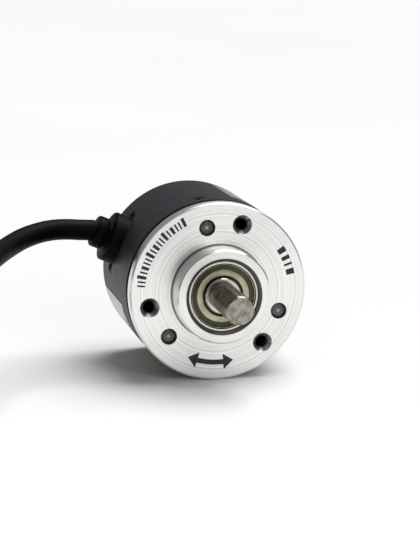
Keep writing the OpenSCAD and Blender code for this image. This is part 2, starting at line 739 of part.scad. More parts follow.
// Shrink sleeve, half over the sheath's end and half over the leads
module end_sleeve() color("#1a1a1e") cable_end() difference() {
    translate([0, 0, -sleeve_len / 2]) cylinder(d = sleeve_d, h = sleeve_len);
    translate([0, 0, -sleeve_len]) cylinder(d = cable_d, h = sleeve_len);
    cylinder(r = lead_spread_r + lead_d / 2, h = sleeve_len);
}

module cable_leads() color("tan") cable_end() for (k = [0:lead_count - 1]) {
    a = k * 360 / lead_count;
    foot = [lead_spread_r * cos(a), lead_spread_r * sin(a), 0];
    bend = foot + [0, 0, sleeve_len / 2];
    union() {
        rod(foot, bend, lead_d);
        rod(bend - [0, 0, lead_d / 2], lead_tips[k], lead_tip_d);
    }
}

flange();
cover();
cover_gasket();
cover_screws();
label();
base_screws();
front_outer_race();
front_shields();
front_inner_race();
front_cage();
front_balls();
rear_outer_race();
rear_shields();
rear_inner_race();
rear_cage();
rear_balls();
wave_washer();
bearing_circlip();
shaft();
inner_spacer();
shaft_circlip();
disc_hub();
hub_screw();
code_disc();
disc_clamp();
emitter_holder();
emitter_lamp();
emitter_leads();
reticle();
photodetector();
sensor_base();
circuit_board();
board_screws();
comparator_chip();
driver_chip();
board_passives();
wire_header();
inner_leads();
grommet();
cable_stub();
cable_crimp();
cable();
cable_coil();
coil_tie();
end_sleeve();
cable_leads();
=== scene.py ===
import math

import bmesh
import bpy
from mathutils import Matrix, Vector


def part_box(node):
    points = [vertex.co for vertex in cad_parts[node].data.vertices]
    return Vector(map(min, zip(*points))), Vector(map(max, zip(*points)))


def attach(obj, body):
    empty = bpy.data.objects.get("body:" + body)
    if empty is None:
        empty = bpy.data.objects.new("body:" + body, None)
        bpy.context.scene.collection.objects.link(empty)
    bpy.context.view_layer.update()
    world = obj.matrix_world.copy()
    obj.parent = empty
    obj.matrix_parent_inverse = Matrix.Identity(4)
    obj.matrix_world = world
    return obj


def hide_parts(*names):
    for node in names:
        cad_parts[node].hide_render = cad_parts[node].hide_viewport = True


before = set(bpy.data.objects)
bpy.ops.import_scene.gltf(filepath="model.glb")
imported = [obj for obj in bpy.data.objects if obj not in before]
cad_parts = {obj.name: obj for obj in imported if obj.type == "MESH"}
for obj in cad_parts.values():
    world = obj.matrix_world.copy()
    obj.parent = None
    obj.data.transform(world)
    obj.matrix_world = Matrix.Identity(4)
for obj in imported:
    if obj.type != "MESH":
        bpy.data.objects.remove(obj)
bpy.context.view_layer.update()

scene = bpy.context.scene


# ---- Camera -------------------------------------------------------------------------------------
# A short telephoto, a third of a metre in front of the mounting face, a little to the left of the
# shaft and above it, as for a catalogue view of the shaft end.

mm = 0.001
eye = Vector((-84.19, -329.05, 78.12)) * mm
aim = Vector((-1.86, 0, 2.69)) * mm

catalogue_lens = bpy.data.cameras.new("catalogue_camera")
catalogue_lens.lens = 106.75
catalogue_lens.sensor_width = 36
catalogue_lens.clip_start = 0.01
catalogue_camera = bpy.data.objects.new("catalogue_camera", catalogue_lens)
catalogue_camera.location = eye
catalogue_camera.rotation_euler = (aim - eye).to_track_quat("-Z", "Y").to_euler()
scene.collection.objects.link(catalogue_camera)
scene.camera = catalogue_camera


# ---- Signal cable -------------------------------------------------------------------------------
# Half a metre of screened five-core cable with an extruded PVC sheath. It leaves the outlet, bends
# towards the front, sinks to the table and is wound inwards in a flat coil of a little over two turns.

cable_d = 4.5
table_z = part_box("label")[0].z / mm
lying_z = table_z + cable_d / 2

run_to_table = [
    (-22.4, 22, 10.2), (-25.2, 21.8, 10.4), (-28.7, 21.2, 10.8), (-32.2, 19.8, 11), (-35.5, 17.6, 10.9),
    (-38.6, 14.7, 10.6), (-41.4, 11, 10.2), (-43.9, 6.6, 9.9), (-46.2, 1.4, 9.8), (-48.8, -5, 9.7),
    (-52.2, -12.3, 9.3), (-56.8, -19.6, 8.3), (-62.6, -26.4, 6.4), (-69.6, -32.2, 3.6), (-77.6, -36.2, 0.1),
    (-86.3, -37.6, -3.8), (-95, -36, -7.8), (-102.9, -31.8, -11.3), (-109.3, -25.4, -14),
    (-113.6, -17.8, -15.8), (-115.7, -10, -16.7),
]
coil_centre = Vector((-86, -2, lying_z))
coil_start_r, coil_pitch, coil_turns, points_per_turn = 30, 4.7, 2.2, 15
coil_points = []
for step in range(round(coil_turns * points_per_turn) + 1):
    turned_by = step / points_per_turn
    spoke = math.radians(180 - 360 * turned_by)
    reach = coil_start_r - coil_pitch * turned_by
    coil_points.append(coil_centre + reach * Vector((math.cos(spoke), math.sin(spoke), 0)))


def linear(hex_code):
    """A colour chart's sRGB hex code as the shader's linear values."""
    shares = [int(hex_code[i:i + 2], 16) / 255 for i in (1, 3, 5)]
    return [s / 12.92 if s <= 0.04045 else ((s + 0.055) / 1.055) ** 2.4 for s in shares] + [1]


def add_node(tree, kind, settings, links):
    """Adds a shader node: its settings by socket or property name, its links by socket name."""
    node = tree.nodes.new(kind)
    for key, value in settings.items():
        if key == "stops":
            while len(node.color_ramp.elements) < len(value):
                node.color_ramp.elements.new(0.5)
            for stop, (place, colour) in zip(node.color_ramp.elements, value):
                stop.position = place
                stop.color = colour
        elif isinstance(key, str) and hasattr(node, key):
            setattr(node, key, value)
        else:
            node.inputs[key].default_value = value
    for key, source in links.items():
        tree.links.new(source, node.inputs[key])
    return node


def new_finish(name):
    """An empty material with its node tree and the object coordinates that its patterns lie on."""
    finish = bpy.data.materials.new(name)
    finish.use_nodes = True
    finish.node_tree.nodes.clear()
    place = add_node(finish.node_tree, "ShaderNodeTexCoord", {}, {}).outputs["Object"]
    return finish, finish.node_tree, place


def noise(tree, place, scale, detail, **more):
    """Noise over a place, as a socket."""
    settings = {"Scale": scale, "Detail": detail, **more}
    return add_node(tree, "ShaderNodeTexNoise", settings, {"Vector": place}).outputs["Fac"]


def tint(tree, share, *stops):
    """Colours a share from 0 to 1, by stops of (share, hex code)."""
    stops = [(at, linear(code)) for at, code in stops]
    return add_node(tree, "ShaderNodeValToRGB", {"stops": stops}, {"Fac": share}).outputs["Color"]


def spread(tree, value, low, high, from_low=0, from_high=1):
    """Stretches one range over another, as for roughness."""
    settings = {"From Min": from_low, "From Max": from_high, "To Min": low, "To Max": high}
    return add_node(tree, "ShaderNodeMapRange", settings, {"Value": value}).outputs["Result"]


def bump(tree, height, strength, depth, under=None, invert=False):
    """Relief of a depth in millimetres, on top of another relief if one is given."""
    links = {"Height": height, "Normal": under} if under else {"Height": height}
    settings = {"Strength": strength, "Distance": depth * mm, "invert": invert}
    return add_node(tree, "ShaderNodeBump", settings, links).outputs["Normal"]


def surface(tree, settings, links):
    """Ends a finish in its surface shader."""
    shader = add_node(tree, "ShaderNodeBsdfPrincipled", settings, links)
    add_node(tree, "ShaderNodeOutputMaterial", {}, {"Surface": shader.outputs["BSDF"]})


# Extruded PVC: near black, a faint satin sheen, slightly uneven from the lay of the cores under it
sheath_pvc, tree, place = new_finish("extruded_pvc_sheath")
lay = noise(tree, place, 160, 2)
skin = noise(tree, place, 2600, 2)
tone = tint(tree, lay, (0.35, "#010102"), (0.7, "#040406"))
gloss = spread(tree, skin, 0.42, 0.58)
waves = bump(tree, lay, 0.35, 0.25)
grain = bump(tree, skin, 0.12, 0.02, waves)
surface(tree, {"IOR": 1.53, "Specular IOR Level": 0.07},
        {"Base Color": tone, "Roughness": gloss, "Normal": grain})

# The sheathed end turns a little inwards and lies as high as its shrink sleeve's wall
end_spoke = math.radians(180 - 360 * coil_turns)
end_turn = math.radians(12)
run_out = Vector((math.sin(end_spoke - end_turn), -math.cos(end_spoke - end_turn), 0))

cable_line = bpy.data.curves.new("signal_cable", "CURVE")
cable_line.dimensions = "3D"
cable_line.bevel_depth = cable_d / 2 * mm
cable_line.bevel_resolution = 7
cable_line.resolution_u = 8
cable_line.use_fill_caps = True
run = cable_line.splines.new("BEZIER")
sleeve_wall = 0.4
coil_points[-1] = coil_points[-1] + Vector((0, 0, sleeve_wall))
stations = [Vector(p) for p in run_to_table] + coil_points
run.bezier_points.add(len(stations) - 1)
for knot, station in zip(run.bezier_points, stations):
    knot.co = station * mm
    knot.handle_left_type = knot.handle_right_type = "AUTO"
run.bezier_points[-1].handle_left_type = "FREE"
run.bezier_points[-1].handle_right_type = "FREE"
run.bezier_points[-1].handle_left = (stations[-1] - 4 * run_out) * mm
run.bezier_points[-1].handle_right = (stations[-1] + 4 * run_out) * mm
cable_line.materials.append(sheath_pvc)
signal_cable = bpy.data.objects.new("signal_cable", cable_line)
scene.collection.objects.link(signal_cable)
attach(signal_cable, "housing")
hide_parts("cable", "cable_coil")


# ---- Shrink sleeve and stripped wires at the cable's far end --------------------------------------
# The sheath is cut back and a short piece of heat-shrink tube closes its end. Five thin PVC-covered
# wires fan out of it, each stripped and tinned for a screw terminal.

def set_in_frame(bm, origin, x_axis, y_axis, z_axis):
    """Moves a shape from a local frame to its place, in millimetres, and scales it to metres."""
    turn = Matrix((x_axis, y_axis, z_axis)).transposed().to_4x4()
    bmesh.ops.transform(bm, matrix=Matrix.Scale(mm, 4) @ Matrix.Translation(origin) @ turn, verts=bm.verts)


def make_piece(name, bm, finishes, body, replaced=(), crease=35):
    """Closes a shape's seams, smooths it between its creases and puts it on its body."""
    bmesh.ops.remove_doubles(bm, verts=bm.verts, dist=2e-7)
    bmesh.ops.recalc_face_normals(bm, faces=bm.faces)
    for edge in bm.edges:
        edge.smooth = edge.is_manifold and edge.calc_face_angle() < math.radians(crease)
    for face in bm.faces:
        face.smooth = True
    mesh = bpy.data.meshes.new(name)
    bm.to_mesh(mesh)
    bm.free()
    for finish in finishes:
        mesh.materials.append(finish)
    piece = bpy.data.objects.new(name, mesh)
    scene.collection.objects.link(piece)
    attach(piece, body)
    if replaced:
        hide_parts(*replaced)
    return piece


def spin_outline(bm, outline, steps, closed=True, finish=0, axis=(0, 0, 1), angle=2 * math.pi):
    """Turns an outline of (radius, height) points into a solid of revolution about local Z."""
    corners = [bm.verts.new((r, 0, h)) for r, h in outline]
    ends = corners[1:] + corners[:1] if closed else corners[1:]
    edges = [bm.edges.new(pair) for pair in zip(corners, ends)]
    before = set(bm.faces)
    full = abs(angle - 2 * math.pi) < 1e-6
    bmesh.ops.spin(bm, geom=corners + edges, cent=(0, 0, 0), axis=axis, dvec=(0, 0, 0),
                   angle=angle, steps=steps, use_merge=full, use_duplicate=False)
    made = [f for f in bm.faces if f not in before]
    for face in made:
        face.material_index = finish
    return made


# Heat-shrink polyolefin: black, satin, drawn tight over what is under it
shrink_tube, tree, place = new_finish("shrunk_polyolefin")
drawn = noise(tree, place, 700, 3)
tone = tint(tree, drawn, (0.3, "#141416"), (0.75, "#222225"))
relief = bump(tree, drawn, 0.3, 0.08)
surface(tree, {"Roughness": 0.42, "IOR": 1.5}, {"Base Color": tone, "Normal": relief})

sleeve_out, sleeve_half = cable_d / 2 + sleeve_wall, 3
end_frame = (stations[-1], Vector((-run_out.y, run_out.x, 0)), Vector((0, 0, 1)), run_out)
bm = bmesh.new()
spin_outline(bm, [
    (cable_d / 2 + 0.02, -sleeve_half), (sleeve_out - 0.15, -sleeve_half), (sleeve_out, -sleeve_half + 0.2),
    (sleeve_out, 0.1), (sleeve_out - 0.12, 0.5), (sleeve_out - 0.55, 1.3), (sleeve_out - 0.7, 2.2),
    (sleeve_out - 0.72, sleeve_half - 0.1), (sleeve_out - 0.8, sleeve_half), (1.38, sleeve_half),
    (1.38, 0.02), (cable_d / 2 + 0.02, 0.02),
], 32)
set_in_frame(bm, *end_frame)
end_sleeve = make_piece("end_sleeve_shrunk", bm, [shrink_tube], "housing", ["end_sleeve"])

# Wire covering: hard-coloured PVC, one colour a function; the copper strands are tinned
wire_colours = {
    "red": "#8a2a20", "black": "#17181a", "green": "#2f6b3c", "white": "#d9d5c8", "yellow": "#c79a2a",
}
wire_finishes = []
for colour_name, code in wire_colours.items():
    covering, tree, place = new_finish(f"{colour_name}_wire_pvc")
    streak = noise(tree, place, 900, 2)
    shade = spread(tree, streak, 0.82, 1.08)
    tone = add_node(tree, "ShaderNodeVectorMath", {"operation": "SCALE", 0: linear(code)[:3]},
                    {"Scale": shade})
    relief = bump(tree, streak, 0.15, 0.02)
    surface(tree, {"Roughness": 0.38, "IOR": 1.53},
            {"Base Color": tone.outputs["Vector"], "Normal": relief})
    wire_finishes.append(covering)

# Tinned copper: dull silver, the twist of the strands left showing through the solder
tinned_copper, tree, place = new_finish("tinned_copper_strands")
twist = add_node(tree, "ShaderNodeTexWave",
                 {"Scale": 900, "Distortion": 1.5, "bands_direction": "DIAGONAL"}, {"Vector": place})
relief = bump(tree, twist.outputs["Fac"], 0.4, 0.05)
gloss = spread(tree, twist.outputs["Fac"], 0.22, 0.4)
surface(tree, {"Base Color": linear("#c9c8c3"), "Metallic": 1}, {"Roughness": gloss, "Normal": relief})

wire_tips = [(-3, -2.2, 16.5), (-5.5, -2.2, 17.5), (-12, -2.2, 15), (-10, -2.2, 16), (-7.5, -2.2, 17)]
bm = bmesh.new()
for number, tip in enumerate(wire_tips):
    around = math.radians(72 * number)
    foot = Vector((0.95 * math.cos(around), 0.95 * math.sin(around), 0.3))
    tip = Vector(tip)
    # from the sleeve straight, then an easy curve outwards and down to the table
    mid = foot + Vector((0, 0, 3.2))
    bend = mid + Vector((0, 0, 2.2))
    line = [foot, mid]
    for k in range(1, 9):
        t = k / 8
        line.append((1 - t) ** 2 * mid + 2 * (1 - t) * t * bend + t ** 2 * tip)
    stripped_from = 7
    for section, radius, finish in ((line[:stripped_from + 1], 0.4, number), (line[stripped_from:], 0.24, 5)):
        ring_before = None
        for k, at in enumerate(section):
            heading = (section[min(k + 1, len(section) - 1)] - section[max(k - 1, 0)]).normalized()
            side = heading.cross(Vector((0, 1, 0))).normalized()
            up = side.cross(heading)
            turn = Matrix((side, up, heading)).transposed().to_4x4()
            circle = bmesh.ops.create_circle(bm, cap_ends=False, segments=12, radius=radius,
                                             matrix=Matrix.Translation(at) @ turn)["verts"]
            rim = list({e for v in circle for e in v.link_edges})
            if ring_before:
                for face in bmesh.ops.bridge_loops(bm, edges=ring_before + rim)["faces"]:
                    face.material_index = finish
            else:
                for face in bmesh.ops.contextual_create(bm, geom=rim)["faces"]:
                    face.material_index = finish
            ring_before = rim
        for face in bmesh.ops.contextual_create(bm, geom=ring_before)["faces"]:
            face.material_index = finish
set_in_frame(bm, *end_frame)
stripped_wires = make_piece("stripped_wires", bm, wire_finishes + [tinned_copper], "housing",
                            ["cable_leads"])


# ---- Tie round the coil ---------------------------------------------------------------------------
# A nylon cable tie holds the turns side by side on the side of the coil that faces the encoder. Its
# head stands on the strap and the cut-off tail sticks out of it.

def block(bm, size, at):
    """A plain block about a place; its edges are rounded afterwards, by round_off."""
    corners = bmesh.ops.create_cube(bm, size=1)["verts"]
    bmesh.ops.scale(bm, verts=corners, vec=size)
    bmesh.ops.translate(bm, verts=corners, vec=at)


def round_off(bm, edges, by, segments):
    """Rounds edges by a width."""
    bmesh.ops.bevel(bm, geom=edges, offset=by, offset_type="OFFSET", affect="EDGES", segments=segments,
                    profile=0.5, material=-1)


# Moulded nylon: black, slightly translucent skin, fine ribs across the strap
tie_nylon, tree, place = new_finish("moulded_nylon_tie")
fine = noise(tree, place, 1800, 2)
relief = bump(tree, fine, 0.2, 0.02)
gloss = spread(tree, fine, 0.35, 0.5)
surface(tree, {"Base Color": linear("#17171a"), "IOR": 1.53}, {"Roughness": gloss, "Normal": relief})

tie_deg = -25
tie_spoke = math.radians(tie_deg)
outer_pass_r = coil_start_r - coil_pitch * (180 - tie_deg) / 360
tie_in = outer_pass_r - coil_pitch - cable_d / 2 - 0.1
tie_out = outer_pass_r + cable_d / 2 + 0.1
strap_t, strap_w = 0.9, 3
tie_frame = (Vector((coil_centre.x, coil_centre.y, table_z)),
             Vector((math.cos(tie_spoke), math.sin(tie_spoke), 0)),
             Vector((-math.sin(tie_spoke), math.cos(tie_spoke), 0)), Vector((0, 0, 1)))
bm = bmesh.new()
tie_middle, strap_top = (tie_out + tie_in) / 2, cable_d + strap_t
block(bm, (tie_out - tie_in + 2 * strap_t, strap_w, strap_top), (tie_middle, 0, strap_top / 2))
sides = [f for f in bm.faces if abs(f.normal.y) > 0.9]
inner = bmesh.ops.inset_region(bm, faces=sides, thickness=strap_t, depth=0)
window = [f for f in bm.faces if abs(f.normal.y) > 0.9 and f not in inner["faces"]]
bmesh.ops.bridge_loops(bm, edges=list({e for f in window for e in f.edges}))
bmesh.ops.delete(bm, geom=window, context="FACES_ONLY")
# under the turns the strap is pressed flat against the table
for corner in bm.verts:
    if strap_t - 0.01 < corner.co.z < strap_t + 0.01:
        corner.co.z = 0.12
across = [e for e in bm.edges if abs((e.verts[0].co - e.verts[1].co).normalized().y) > 0.9]
round_off(bm, [e for e in across if e.verts[0].co.z > 1], 0.7, 4)
set_in_frame(bm, *tie_frame)
tie_strap = make_piece("tie_strap", bm, [tie_nylon], "housing", ["coil_tie"])

bm = bmesh.new()
block(bm, (4.6, 4.2, 1.7), (tie_middle, 0, strap_top + 0.6))
block(bm, (1.6, 2.4, 0.9), (tie_middle + 3, 0, strap_top + 0.55))
round_off(bm, bm.edges[:], 0.25, 3)
set_in_frame(bm, *tie_frame)
tie_head = make_piece("tie_head", bm, [tie_nylon], "housing")


# ---- Flange ---------------------------------------------------------------------------------------
# Free-cutting aluminium bar, faced and turned in one setting: mounting face, pilot boss, bearing well
# and rim. The cutter's feed leaves fine rings on every turned surface, which break up its highlights.

def line_noise(tree, along, scale, detail, **more):
    """Noise along one measure only, as a socket, for rings and lines."""
    settings = {"noise_dimensions": "1D", "Scale": scale, "Detail": detail, **more}
    return add_node(tree, "ShaderNodeTexNoise", settings, {"W": along}).outputs["Fac"]


def calc(tree, operation, *terms):
    """One step of arithmetic on sockets and numbers, as a socket."""
    numbers = {at: term for at, term in enumerate(terms) if isinstance(term, (int, float))}
    sockets = {at: term for at, term in enumerate(terms) if at not in numbers}
    return add_node(tree, "ShaderNodeMath", {"operation": operation, **numbers}, sockets).outputs["Value"]


def mask(tree, share, *stops):
    """A grey level for a share from 0 to 1, by stops of (share, level)."""
    stops = [(at, [level, level, level, 1]) for at, level in stops]
    return add_node(tree, "ShaderNodeValToRGB", {"stops": stops}, {"Fac": share}).outputs["Color"]


def paint_shade_over(tree, clean, share, code):
    """Covers a colour with the colour of a painted shade, by a share from 0 to 1."""
    settings = {"data_type": "RGBA", 7: linear(code)}
    return add_node(tree, "ShaderNodeMix", settings, {0: share, 6: clean}).outputs[2]


def shaft_distance(tree, axes):
    """The distance of a place from the shaft's axis."""
    x, z = axes.outputs["X"], axes.outputs["Z"]
    return calc(tree, "SQRT", calc(tree, "MULTIPLY_ADD", z, z, calc(tree, "MULTIPLY", x, x)))


# Turned aluminium: bright satin. Fine rings about 0.4 mm apart lie on broader passes of about 2 mm, so
# that they show at catalogue distance. Radius plus height runs along faces and rims alike. The grooves
# stretch each highlight across themselves; the bore and the holes are darkened as painted shade.
turned_aluminium, tree, place = new_finish("turned_aluminium")
axes = add_node(tree, "ShaderNodeSeparateXYZ", {}, {"Vector": place})
radius = shaft_distance(tree, axes)
along_cut = calc(tree, "ADD", radius, axes.outputs["Y"])
feed = line_noise(tree, along_cut, 2600, 3, Roughness=0.7)
passes = line_noise(tree, along_cut, 500, 2, Roughness=0.5)
smear = noise(tree, place, 260, 4)
ring_tone = spread(tree, calc(tree, "MULTIPLY_ADD", passes, 0.5, feed), 0, 1, 0.5, 1)
tone = tint(tree, ring_tone, (0.05, "#d6d5d0"), (0.7, "#fbfbf8"))
# painted shade: near black in the bearing bore, and in the holes darker with depth from the chamfers down,
# which holds back the chamfers' highlights
bore_edge_r, rim_edge_r, hole_depth = 8.1 * mm, 18.5 * mm, 1 * mm
painted_bore_shade = spread(tree, radius, 0, 0.8, bore_edge_r + 0.06 * mm, bore_edge_r)
depth = spread(tree, axes.outputs["Y"], 0, 1, 0, hole_depth)
in_holes = mask(tree, depth, (0.01, 0), (0.06, 0.62), (0.8, 0.8), (0.95, 0.98))
painted_hole_shade = calc(tree, "MULTIPLY", in_holes, calc(tree, "LESS_THAN", radius, rim_edge_r))
metal_tone = paint_shade_over(tree, tone, calc(tree, "MAXIMUM", painted_hole_shade, painted_bore_shade), "#191714")
gloss = calc(tree, "MULTIPLY_ADD", smear, 0.12, spread(tree, passes, 0.2, 0.34, 0.3, 0.7))
rings = bump(tree, feed, 1, 0.008)
ridges = bump(tree, passes, 0.8, 0.014, rings)
round_axis = add_node(tree, "ShaderNodeCombineXYZ", {},
                      {"X": axes.outputs["Z"], "Z": calc(tree, "MULTIPLY", axes.outputs["X"], -1)})
groove_line = add_node(tree, "ShaderNodeVectorMath", {"operation": "NORMALIZE"},
                       {0: round_axis.outputs["Vector"]})
surface(tree, {"Metallic": 1, "Anisotropic": 0.65, "Anisotropic Rotation": 0.25},
        {"Base Color": metal_tone, "Roughness": gloss, "Normal": ridges,
         "Tangent": groove_line.outputs["Vector"]})


def dress(node, finish):
    """Gives a carried-over node its finish."""
    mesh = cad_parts[node].data
    mesh.materials.clear()
    mesh.materials.append(finish)


dress("flange", turned_aluminium)

def set_in_hole(bm, known, circle_r, deg):
    """Moves what was added since `known` from local Z into the face's hole at an angle up from +X."""
    added = [v for v in bm.verts if v not in known]
    at = math.radians(deg)
    to_hole = Matrix.Translation((circle_r * math.cos(at), 0, circle_r * math.sin(at)))
    turn = Matrix.Rotation(math.radians(-90), 4, "X")
    bmesh.ops.transform(bm, matrix=Matrix.Scale(mm, 4) @ to_hole @ turn, verts=added)


# The M3 threads: one fine ridge wound down each tapped hole
thread_pitch, thread_turns, thread_steps = 0.5, 9, 16
tapped_r, tapped_depth = 1.25, 1.1
tooth_profile = ((0.03, 0), (-0.17, 0.2), (0.03, 0.42))
hole_circle_r, first_hole_deg = 15, 70
bm = bmesh.new()
for number in range(3):
    before = set(bm.verts)
    ridge = [bm.verts.new((tapped_r + out, 0, tapped_depth + up)) for out, up in tooth_profile]
    tooth = bm.faces.new(ridge)
    bmesh.ops.spin(bm, geom=[tooth], cent=(0, 0, 0), axis=(0, 0, 1), dvec=(0, 0, thread_pitch / thread_steps),
                   angle=2 * math.pi * thread_turns, steps=thread_turns * thread_steps, use_duplicate=False)
    set_in_hole(bm, before, hole_circle_r, first_hole_deg + 120 * number)
make_piece("hole_threads", bm, [turned_aluminium], "housing")


# ---- Printed marks on the mounting face -------------------------------------------------------------
# Pad-printed black ink: a row of bars, a shorter group of them and a plain arrow for the turning sense.
# None of it spells anything. The ink lies a hundredth of a millimetre thick on the turned rings.

# Pad-printing ink: matt black, thin over the ridges so that a little metal greys it
printed_ink, tree, place = new_finish("pad_printing_ink")
cover_of_ink = noise(tree, place, 2400, 3)
tone = tint(tree, cover_of_ink, (0.4, "#19191b"), (0.78, "#3c3c3d"))
gloss = spread(tree, cover_of_ink, 0.45, 0.65)
surface(tree, {"IOR": 1.48}, {"Base Color": tone, "Roughness": gloss})


def lay_bar(bm, r_in, r_out, from_deg, to_deg, low, high, steps, finish=0):
    """A curved bar about the shaft's axis, between two radii, two angles up from +X and two heights in y."""
    start = math.radians(from_deg)
    outline = [(r_in, low), (r_out, low), (r_out, high), (r_in, high)]
    corners = [bm.verts.new((r * math.cos(start) * mm, y * mm, r * math.sin(start) * mm)) for r, y in outline]
    face = bm.faces.new(corners)
    face.material_index = finish
    known = set(bm.faces) - {face}
    bmesh.ops.spin(bm, geom=[face], cent=(0, 0, 0), axis=(0, -1, 0), dvec=(0, 0, 0),
                   angle=math.radians(to_deg - from_deg), steps=steps, use_duplicate=False)
    for made in bm.faces:
        if made not in known:
            made.material_index = finish


ink_low, ink_high = -0.012, 0.008
bm = bmesh.new()
at = 115
for number in range(18):
    width = (2.4, 1.3, 1.3, 2.4, 1.3)[number % 5]
    lay_bar(bm, 15.9, 17.55 if number % 5 else 17.9, at, at + width, ink_low, ink_high, 2)
    at += width + 1.6
at = 11
for width in (4.4, 1.8, 3.2, 4.4):
    lay_bar(bm, 15.1, 16.9, at, at + width, ink_low, ink_high, 3)
    at += width + 2.8
arrow_r, arrow_half, head_half = 15.2, 0.55, 1.7
lay_bar(bm, arrow_r - arrow_half, arrow_r + arrow_half, 252, 274, ink_low, ink_high, 12)
for tip_deg, base_deg in ((244, 252.2), (282, 273.8)):
    flat = []
    for r, deg in ((arrow_r, tip_deg), (arrow_r + head_half, base_deg), (arrow_r - head_half, base_deg)):
        at = math.radians(deg)
        flat.append(bm.verts.new((r * math.cos(at) * mm, ink_low * mm, r * math.sin(at) * mm)))
    head = bm.faces.new(flat)
    drawn = bmesh.ops.extrude_face_region(bm, geom=[head], use_keep_orig=True)["geom"]
    raised = [v for v in drawn if isinstance(v, bmesh.types.BMVert)]
    bmesh.ops.translate(bm, verts=raised, vec=(0, (ink_high - ink_low) * mm, 0))
make_piece("printed_marks", bm, [printed_ink], "housing")


# ---- Base screws ----------------------------------------------------------------------------------
# Three M2.5 screws come through from inside, where they hold the sensor base. Their ends stand just
# below the face, each under a drop of sealing lacquer that fills the mouth of its hole.

# Zinc-plated steel: mid grey, cloudy, a little rougher where it was handled
plated_steel, tree, place = new_finish("zinc_plated_steel")
cloud = noise(tree, place, 700, 4, Roughness=0.6)
tone = tint(tree, cloud, (0.3, "#8d8c8a"), (0.72, "#c4c3c0"))
gloss = spread(tree, cloud, 0.24, 0.5)
relief = bump(tree, cloud, 0.25, 0.02)
surface(tree, {"Metallic": 1}, {"Base Color": tone, "Roughness": gloss, "Normal": relief})
for node in ("hub_screw", "board_screws"):
    dress(node, plated_steel)

# Thread locker over black oxide: dark, wet-looking in the middle
locked_tip, tree, place = new_finish("oxide_with_thread_locker")
pool = noise(tree, place, 900, 3)
tone = tint(tree, pool, (0.35, "#1c1c1e"), (0.75, "#4a4a4b"))
gloss = spread(tree, pool, 0.2, 0.45)
relief = bump(tree, pool, 0.4, 0.05)
surface(tree, {"Metallic": 0.6}, {"Base Color": tone, "Roughness": gloss, "Normal": relief})
dress("base_screws", locked_tip)

# Sealing lacquer: dark grey, glossy, cloudy with fine bubbles and the metal's dust
lacquer_drop, tree, place = new_finish("sealing_lacquer")
haze = noise(tree, place, 1100, 4, Roughness=0.65)
tone = tint(tree, haze, (0.32, "#383837"), (0.72, "#6a6a66"))
gloss = spread(tree, haze, 0.16, 0.4)
relief = bump(tree, haze, 0.5, 0.06)
surface(tree, {"IOR": 1.5}, {"Base Color": tone, "Roughness": gloss, "Normal": relief})

# The drops, and the small bare point of each screw that stands out of its drop
base_circle_r, first_screw_deg = 14, 100
drop = [(0, 0.44), (0.3, 0.4), (0.6, 0.36), (1.0, 0.44), (1.4, 0.64), (1.64, 0.92), (1.73, 1.3), (0, 1.3)]
screw_point = [(0, 0.28), (0.22, 0.3), (0.36, 0.36), (0.4, 0.5), (0, 0.5)]
bm = bmesh.new()
for number in range(3):
    before = set(bm.verts)
    spin_outline(bm, drop, 28, closed=False)
    spin_outline(bm, screw_point, 16, closed=False, finish=1)
    set_in_hole(bm, before, base_circle_r, first_screw_deg + 120 * number)
make_piece("lacquer_drops", bm, [lacquer_drop, plated_steel], "housing")


# ---- Bearings -------------------------------------------------------------------------------------
# Two shielded deep-groove ball bearings, 6 x 15 x 5. Rings and balls are hardened and ground chrome
# steel, with a pressed cage between; each side is closed by a sheet shield crimped into the outer ring.

# Ground bearing steel: nearly a mirror, with faint grinding lines round the rings
bearing_steel, tree, place = new_finish("ground_bearing_steel")
axes = add_node(tree, "ShaderNodeSeparateXYZ", {}, {"Vector": place})
radius = shaft_distance(tree, axes)
grind = line_noise(tree, radius, 6500, 2)
clean = tint(tree, grind, (0.3, "#bdb9ae"), (0.7, "#d8d5cb"))
# painted shade: deeper than about 0.3 mm between the end faces of each bearing everything is painted near
# black, so the gaps round the shields read dark
bearing_w, bearing_step = 5, 9.3
bearing_fronts = {"front": -4.2, "rear": 5.1}
from_face = calc(tree, "SUBTRACT", axes.outputs["Y"], bearing_fronts["front"] * mm)
in_bearing = calc(tree, "FLOORED_MODULO", from_face, bearing_step * mm)
to_middle = calc(tree, "ABSOLUTE", calc(tree, "SUBTRACT", in_bearing, bearing_w / 2 * mm))
painted_gap_shade = spread(tree, to_middle, 0, 0.96, 2.2 * mm, 1.95 * mm)
tone = paint_shade_over(tree, clean, painted_gap_shade, "#0c0a08")
gloss = spread(tree, grind, 0.12, 0.26)
relief = bump(tree, grind, 0.5, 0.003)
surface(tree, {"Metallic": 1}, {"Base Color": tone, "Roughness": gloss, "Normal": relief})
for bearing in bearing_fronts:
    for ring in ("outer_race", "inner_race", "balls"):
        dress(f"{bearing}_{ring}", bearing_steel)

# Pressed sheet steel: satin, with soft rolling streaks and an olive cast that is painted reflection of warm
# surroundings
pressed_sheet, tree, place = new_finish("pressed_sheet_with_painted_shade")
streaks = add_node(tree, "ShaderNodeMapping", {"Scale": (160, 1, 1400)}, {"Vector": place})
rolled = noise(tree, streaks.outputs["Vector"], 1, 4)
oil = noise(tree, place, 420, 3)
# the olive in this tone is a painted reflection of warm surroundings
grey_with_painted_olive = tint(tree, oil, (0.3, "#9a9880"), (0.7, "#c2bfa4"))
axes = add_node(tree, "ShaderNodeSeparateXYZ", {}, {"Vector": place})
radius = shaft_distance(tree, axes)
